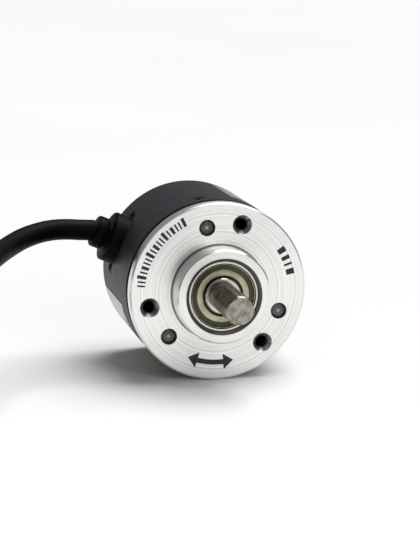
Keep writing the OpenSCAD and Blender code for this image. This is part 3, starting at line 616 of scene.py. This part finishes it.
# painted shade: the channel round the flat disc, 5.6 to 6.6 mm out, the tabs a little, and the gap outside
# the crimped tabs are painted dark
in_channel = spread(tree, radius, 0, 1, 0, 8 * mm)
painted_channel_shade = mask(tree, in_channel, (0.692, 0), (0.704, 0.88), (0.825, 0.88),
              (0.833, 0.3), (0.852, 0.2), (0.86, 0.98))
tone = paint_shade_over(tree, grey_with_painted_olive, painted_channel_shade, "#1d1c14")
gloss = spread(tree, oil, 0.24, 0.42)
relief = bump(tree, rolled, 0.4, 0.006)
surface(tree, {"Metallic": 1}, {"Base Color": tone, "Roughness": gloss, "Normal": relief})
for node in ("front_cage", "rear_cage"):
    dress(node, pressed_sheet)

# Each shield is a flat ring with a channel round it; its rim is crimped into the outer ring in tabs
shield_bore, channel_from, lip_from, lip_to = 4.3, 5.6, 6.55, 7.0
tab_count, tab_deg, first_tab_deg = 8, 41, 10
disc_outline = [
    (shield_bore, 0.6), (shield_bore, 0.42), (shield_bore + 0.07, 0.36), (shield_bore + 0.16, 0.35),
    (channel_from - 0.14, 0.35), (channel_from - 0.05, 0.38), (channel_from, 0.5), (lip_to, 0.5),
    (lip_to, 0.6),
]
tab_outline = [
    (lip_from + out, up) for out, up in
    ((0, 0.5), (0.04, 0.24), (0.09, 0.14), (0.16, 0.11), (0.24, 0.11), (0.31, 0.17), (0.35, 0.3), (0.36, 0.5))
]
for bearing, front_y in bearing_fronts.items():
    bm = bmesh.new()
    for face_y, side in ((front_y, 1), (front_y + bearing_w, -1)):
        before = set(bm.verts)
        spin_outline(bm, disc_outline, 72)
        for tab in range(tab_count):
            known = set(bm.verts)
            spin_outline(bm, tab_outline, 12, angle=math.radians(tab_deg))
            rib = [v for v in bm.verts if v not in known]
            for end in (0, math.radians(tab_deg)):
                off_end = {v: math.atan2(v.co.y, v.co.x) - end for v in rib}
                rim = [v for v in rib if abs((off_end[v] + math.pi) % (2 * math.pi) - math.pi) < 0.01]
                bmesh.ops.contextual_create(bm, geom=rim)
            round_to = Matrix.Rotation(math.radians(first_tab_deg + 360 / tab_count * tab), 3, "Z")
            bmesh.ops.rotate(bm, verts=rib, cent=(0, 0, 0), matrix=round_to)
        made = [v for v in bm.verts if v not in before]
        to_face = Matrix.Translation((0, face_y, 0)) @ Matrix.Rotation(math.radians(-90 * side), 4, "X")
        bmesh.ops.transform(bm, matrix=Matrix.Scale(mm, 4) @ to_face, verts=made)
    make_piece(f"{bearing}_shields_crimped", bm, [pressed_sheet], "housing",
               [f"{bearing}_shields"])


# ---- Shaft ----------------------------------------------------------------------------------------
# Stainless steel bar, centreless ground to 6 mm, with a clamping flat milled at its free end and a
# small relief next to the bearing. The end face is sawn and only lightly deburred.

# Ground stainless: fine lines round the bar and a mottled grey end
ground_stainless, tree, place = new_finish("ground_stainless_bar")
lines = add_node(tree, "ShaderNodeMapping", {"Scale": (300, 5200, 300)}, {"Vector": place})
ground = noise(tree, lines.outputs["Vector"], 1, 3)
mottle = noise(tree, place, 900, 5, Roughness=0.7)
tone = tint(tree, mottle, (0.34, "#6a675d"), (0.5, "#9a978b"), (0.72, "#b3b0a5"))
gloss = spread(tree, mottle, 0.2, 0.42)
relief = bump(tree, ground, 0.5, 0.006)
pits = bump(tree, mottle, 0.3, 0.02, relief)
surface(tree, {"Metallic": 1}, {"Base Color": tone, "Roughness": gloss, "Normal": pits})
dress("shaft", ground_stainless)


# ---- Cover ----------------------------------------------------------------------------------------
# A deep-drawn aluminium cup with a fine satin powder coat, pushed over the flange's spigot on a black
# rubber ring and held by three countersunk screws round its rim.

# Satin powder coat: very dark warm grey, with the fine even orange peel that such a coat cures to
powder_coat, tree, place = new_finish("satin_powder_coat")
peel = noise(tree, place, 1500, 2, Roughness=0.45)
handling = noise(tree, place, 120, 4)
tone = tint(tree, handling, (0.3, "#222126"), (0.72, "#2b2a2f"))
gloss = spread(tree, handling, 0.42, 0.54)
relief = bump(tree, peel, 0.22, 0.02)
surface(tree, {"IOR": 1.52, "Specular IOR Level": 0.27},
        {"Base Color": tone, "Roughness": gloss, "Normal": relief})
dress("cover", powder_coat)

# Nitrile rubber ring in the gap: black and matt, with the mould's faint bloom
ring_rubber, tree, place = new_finish("nitrile_rubber_ring")
bloom = noise(tree, place, 800, 3)
tone = tint(tree, bloom, (0.4, "#08080a"), (0.8, "#18181a"))
relief = bump(tree, bloom, 0.2, 0.03)
surface(tree, {"Roughness": 0.7, "IOR": 1.52}, {"Base Color": tone, "Normal": relief})
dress("cover_gasket", ring_rubber)
dress("cover_screws", locked_tip)


# ---- Label ----------------------------------------------------------------------------------------
# A metallised polyester label wrapped most of the way round the cover. It carries a plain wiring
# table: ruled lines, a colour patch for each wire and bars where the words would be.

# Metallised film: satin silver, slightly warm, with the faint ripple of a film laid by hand
metallised_film, tree, place = new_finish("metallised_polyester_film")
ripple = noise(tree, place, 140, 2)
brushed = add_node(tree, "ShaderNodeMapping", {"Scale": (300, 9000, 300)}, {"Vector": place})
hairs = noise(tree, brushed.outputs["Vector"], 1, 2)
tone = tint(tree, hairs, (0.3, "#7d7864"), (0.7, "#948f7a"))
gloss = spread(tree, hairs, 0.24, 0.36)
relief = bump(tree, ripple, 0.25, 0.08)
surface(tree, {"Metallic": 0.9, "Coat Weight": 0.3, "Coat Roughness": 0.15},
        {"Base Color": tone, "Roughness": gloss, "Normal": relief})
dress("label", metallised_film)

label_r = 19.1
film_low, film_high = label_r - 0.02, label_r + 0.012
label_from, label_to, label_y0, label_y1 = 192, 434, 10.5, 29
bm = bmesh.new()
for y in (label_y0 + 0.7, label_y1 - 0.9):
    lay_bar(bm, film_low, film_high, label_from + 4, label_to - 4, y, y + 0.2, 96)
for y in (label_y0 + 5.1, label_y0 + 8, label_y0 + 10.9, label_y0 + 13.8):
    lay_bar(bm, film_low, film_high, 236, 330, y, y + 0.12, 40)
for at in (236, 262, 329.6):
    lay_bar(bm, film_low, film_high, at, at + 0.4, label_y0 + 2.2, label_y1 - 2.2, 1)
for row in range(5):
    y = label_y0 + 2.6 + 2.9 * row
    for start, width in ((266, 12 - row), (281, 6 + 2 * row), (300, 16 - 2 * row)):
        lay_bar(bm, film_low, film_high, start, start + width, y + 0.75, y + 1.45, 6)
for number, width in enumerate((22, 30, 14, 26)):
    y = label_y0 + 3 + 3.4 * number
    lay_bar(bm, film_low, film_high, 360, 360 + width, y, y + 1.3, 12)
lay_bar(bm, film_low, film_high, 344, 354, label_y0 + 3, label_y0 + 9.5, 6)
lay_bar(bm, film_low, film_high, 206, 228, label_y0 + 3, label_y0 + 3.8, 10)
lay_bar(bm, film_low, film_high, 206, 222, label_y0 + 6, label_y0 + 6.8, 8)
make_piece("label_print", bm, [printed_ink], "housing")

bm = bmesh.new()
for row in range(5):
    y = label_y0 + 2.6 + 2.9 * row
    lay_bar(bm, film_low, film_high, 240, 257, y + 0.45, y + 1.75, 6, finish=row)
make_piece("wire_patches", bm, wire_finishes, "housing")


# ---- Cable outlet ---------------------------------------------------------------------------------
# A moulded rubber bush snapped into a flat slot across the cover. Its broad collar sits on the cover,
# a waist lets it bend, and a small collar grips the sheath.

# Moulded rubber: near black with a cool cast, matt, faintly pebbled from the mould
moulded_rubber, tree, place = new_finish("moulded_rubber_bush")
pebble = noise(tree, place, 1700, 3)
worn = noise(tree, place, 200, 3)
tone = tint(tree, worn, (0.3, "#020305"), (0.75, "#06070a"))
gloss = spread(tree, worn, 0.4, 0.56)
relief = bump(tree, pebble, 0.25, 0.02)
surface(tree, {"IOR": 1.52, "Specular IOR Level": 0.06},
        {"Base Color": tone, "Roughness": gloss, "Normal": relief})

outlet_y, outlet_at = 22, math.radians(155.5)
outlet_frame = (Vector((0, outlet_y, 0)), Vector((-math.sin(outlet_at), 0, math.cos(outlet_at))),
                Vector((0, -1, 0)), Vector((math.cos(outlet_at), 0, math.sin(outlet_at))))
bm = bmesh.new()
spin_outline(bm, [
    (2.28, 15.2), (3.7, 15.2), (3.9, 15.4), (3.9, 15.95), (3.7, 16.2), (3.1, 16.25), (3.05, 17.45),
    (5.2, 17.5), (5.5, 17.8), (5.5, 21.15), (5.42, 21.38), (5.2, 21.5), (3.6, 21.52), (3.3, 21.62),
    (3.12, 21.9), (3.12, 22.0), (3.2, 22.2), (3.3, 22.3), (3.42, 22.36), (3.5, 22.5), (3.5, 24.1),
    (3.42, 24.4), (3.2, 24.58), (2.95, 24.6), (2.28, 24.6),
], 64)
set_in_frame(bm, *outlet_frame)
make_piece("rubber_bush", bm, [moulded_rubber], "housing", ["grommet"])

# The flat key of the bush, which sits in the slot under the collar and stops the bush from turning
bm = bmesh.new()
key_size, slot_floor = (11.4, 3.3, 0.9), 17.5
block(bm, key_size, (0, 0, slot_floor + key_size[2] / 2))
round_off(bm, bm.edges[:], 0.12, 2)
set_in_frame(bm, *outlet_frame)
make_piece("bush_key", bm, [moulded_rubber], "housing")
dress("cable_stub", sheath_pvc)
dress("cable_crimp", plated_steel)


# ---- Rings and springs in the bearing seat ---------------------------------------------------------
# A wave washer loads the bearings against each other; a spring ring in the bore and another on the
# shaft keep them in place. All are blued or oiled spring steel, pressed from strip.

# Spring steel strip: dark, straw to blue in places from tempering, oiled
spring_strip, tree, place = new_finish("tempered_spring_strip")
temper = noise(tree, place, 240, 3)
tone = tint(tree, temper, (0.35, "#4b4a4c"), (0.55, "#5f5b52"), (0.8, "#6b6a6d"))
gloss = spread(tree, temper, 0.25, 0.45)
surface(tree, {"Metallic": 1}, {"Base Color": tone, "Roughness": gloss})
for node in ("wave_washer", "bearing_circlip", "shaft_circlip"):
    dress(node, spring_strip)
for node in ("inner_spacer", "disc_hub", "disc_clamp"):
    dress(node, turned_aluminium)


# ---- Code disc ------------------------------------------------------------------------------------
# A thin chemically etched steel disc, clamped to the hub, whose slots chop the emitter's light.

# Etched steel foil: grey, flat, with the soft bite of the etchant
etched_foil, tree, place = new_finish("etched_steel_foil")
bite = noise(tree, place, 1900, 4)
tone = tint(tree, bite, (0.3, "#77777a"), (0.7, "#96969a"))
relief = bump(tree, bite, 0.4, 0.01)
surface(tree, {"Metallic": 1, "Roughness": 0.38}, {"Base Color": tone, "Normal": relief})
dress("code_disc", etched_foil)


# ---- Optics ---------------------------------------------------------------------------------------
# An infrared emitter in a black holder shines through the disc and a printed film mask onto the
# photodetector on the board.

# Black moulded package epoxy, used by the holder, the detector and the chips
package_epoxy, tree, place = new_finish("moulded_package_epoxy")
filler = noise(tree, place, 3000, 3)
tone = tint(tree, filler, (0.3, "#1a1a1c"), (0.7, "#2a2a2d"))
relief = bump(tree, filler, 0.4, 0.015)
surface(tree, {"Roughness": 0.55, "IOR": 1.55}, {"Base Color": tone, "Normal": relief})
for node in ("emitter_holder", "photodetector", "comparator_chip", "driver_chip"):
    dress(node, package_epoxy)

# Cast clear epoxy of the emitter: faintly blue, slightly wavy
cast_lens, tree, place = new_finish("cast_clear_epoxy")
flow = noise(tree, place, 500, 2)
relief = bump(tree, flow, 0.1, 0.03)
surface(tree, {"Base Color": linear("#c9d2ea"), "Roughness": 0.06, "IOR": 1.54, "Transmission Weight": 0.85},
        {"Normal": relief,
         })
dress("emitter_lamp", cast_lens)
dress("emitter_leads", tinned_copper)

# Film mask: dark gloss with a fine line grating, drawn about 0.4 mm apart
film_mask, tree, place = new_finish("photographic_film_mask")
grating = add_node(tree, "ShaderNodeTexWave", {"Scale": 800, "bands_direction": "X"}, {"Vector": place})
tone = tint(tree, grating.outputs["Fac"], (0.45, "#0d0d12"), (0.55, "#5b5868"))
surface(tree, {"Roughness": 0.12, "IOR": 1.5}, {"Base Color": tone})
dress("reticle", film_mask)


# ---- Sensor base, board and wiring -----------------------------------------------------------------
# A glass-filled nylon ring screwed to the flange carries a small round circuit board. The cable's
# cores are soldered to a header on it, and a crimp inside the cover takes the cable's pull.

# Glass-filled nylon: dark grey, dry and slightly fibrous
filled_nylon, tree, place = new_finish("glass_filled_nylon")
fibres = noise(tree, place, 1300, 4, Distortion=1.2)
tone = tint(tree, fibres, (0.3, "#2b2d31"), (0.75, "#45484d"))
relief = bump(tree, fibres, 0.4, 0.02)
surface(tree, {"Roughness": 0.6, "IOR": 1.53}, {"Base Color": tone, "Normal": relief})
dress("sensor_base", filled_nylon)

# Solder mask over copper: green, the tracks under it a shade lighter and a little raised
solder_mask, tree, place = new_finish("solder_mask_over_copper")
tracks = add_node(tree, "ShaderNodeTexVoronoi", {"feature": "DISTANCE_TO_EDGE", "Scale": 420},
                  {"Vector": place})
tone = tint(tree, tracks.outputs["Distance"], (0.03, "#2f8a52"), (0.06, "#14572f"))
relief = bump(tree, tracks.outputs["Distance"], 0.3, 0.03, invert=True)
surface(tree, {"Roughness": 0.3, "IOR": 1.55}, {"Base Color": tone, "Normal": relief})
dress("circuit_board", solder_mask)

# Fired ceramic of the chip resistors and capacitors: tan, fine-grained
fired_ceramic, tree, place = new_finish("fired_ceramic_chip")
grains = noise(tree, place, 2600, 3)
tone = tint(tree, grains, (0.3, "#8f7450"), (0.7, "#b39a70"))
surface(tree, {"Roughness": 0.45, "IOR": 1.6}, {"Base Color": tone})
dress("board_passives", fired_ceramic)

# Natural nylon of the wire header: milky white
natural_nylon, tree, place = new_finish("natural_nylon_header")
milk = noise(tree, place, 600, 2)
tone = tint(tree, milk, (0.3, "#dcd8c9"), (0.7, "#eeebdf"))
surface(tree, {"Roughness": 0.42, "IOR": 1.53, "Subsurface Weight": 0.1}, {"Base Color": tone})
dress("wire_header", natural_nylon)
dress("inner_leads", wire_finishes[4])


# ---- Studio ---------------------------------------------------------------------------------------
# A white table sweep under one very broad diffuser, a small softbox in front on the right, and a grey
# even room: the plain pale set of a catalogue shot.

# White table laminate, so pale that only the object's own shadow shows on it
white_sweep, tree, place = new_finish("white_table_laminate")
table_tone = noise(tree, place, 3, 2)
tone = tint(tree, table_tone, (0.3, "#f4f4f4"), (0.7, "#f8f8f8"))
surface(tree, {"Roughness": 0.9, "Specular IOR Level": 0.2}, {"Base Color": tone})

bm = bmesh.new()
bmesh.ops.create_grid(bm, x_segments=1, y_segments=1, size=6, matrix=Matrix.Translation((0, 0, table_z * mm)))
table_mesh = bpy.data.meshes.new("table")
bm.to_mesh(table_mesh)
bm.free()
table_mesh.materials.append(white_sweep)
table = bpy.data.objects.new("table", table_mesh)
scene.collection.objects.link(table)

room = bpy.data.worlds.new("studio_room")
room.use_nodes = True
room.node_tree.nodes["Background"].inputs["Color"].default_value = linear("#f4f6fa")
room.node_tree.nodes["Background"].inputs["Strength"].default_value = 0.24
scene.world = room
scene.view_settings.view_transform = "Standard"

# The diffuser overhead is far wider than the set, so it is a sun with a broad disc
diffuser = bpy.data.lights.new("overhead_diffuser", "SUN")
diffuser.energy, diffuser.angle = 2.85, math.radians(50)
front_box = bpy.data.lights.new("front_softbox", "AREA")
front_box.shape, front_box.size, front_box.size_y, front_box.energy = "RECTANGLE", 260 * mm, 200 * mm, 0.4
for lamp, at in ((diffuser, (150, 60, 400)), (front_box, (140, -520, 300))):
    stand = bpy.data.objects.new(lamp.name, lamp)
    stand.location = Vector(at) * mm
    stand.rotation_euler = (-Vector(at)).to_track_quat("-Z", "Y").to_euler()
    scene.collection.objects.link(stand)
